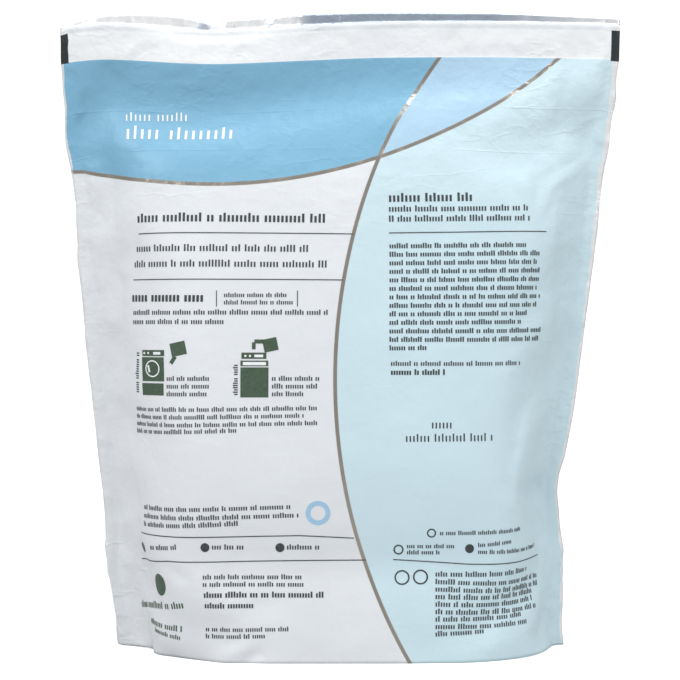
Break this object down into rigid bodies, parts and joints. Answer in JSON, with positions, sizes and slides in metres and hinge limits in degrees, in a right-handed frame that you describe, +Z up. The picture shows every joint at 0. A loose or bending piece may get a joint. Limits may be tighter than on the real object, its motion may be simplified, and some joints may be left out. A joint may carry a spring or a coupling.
{
  "type": "laundry pod bag",
  "caption": "Filled stand-up foil pouch of laundry pods, sealed at the sides and top, resting on its opened base gusset.",
  "frame": {"origin": "on the floor, under the middle of the bag's box", "axes": "+Z up to the top seal, +X across the printed panel to its right as seen, -Y out of the printed panel"},
  "size_m": [0.25, 0.0827, 0.286],
  "materials": {
    "printed_film": "satin printed laminate film",
    "foil": "bare metallised inner face at the top edge",
    "ink": "dark grey print"
  },
  "bodies": {
    "root": {"pouch": "printed_film"}
  },
  "joints": []
}
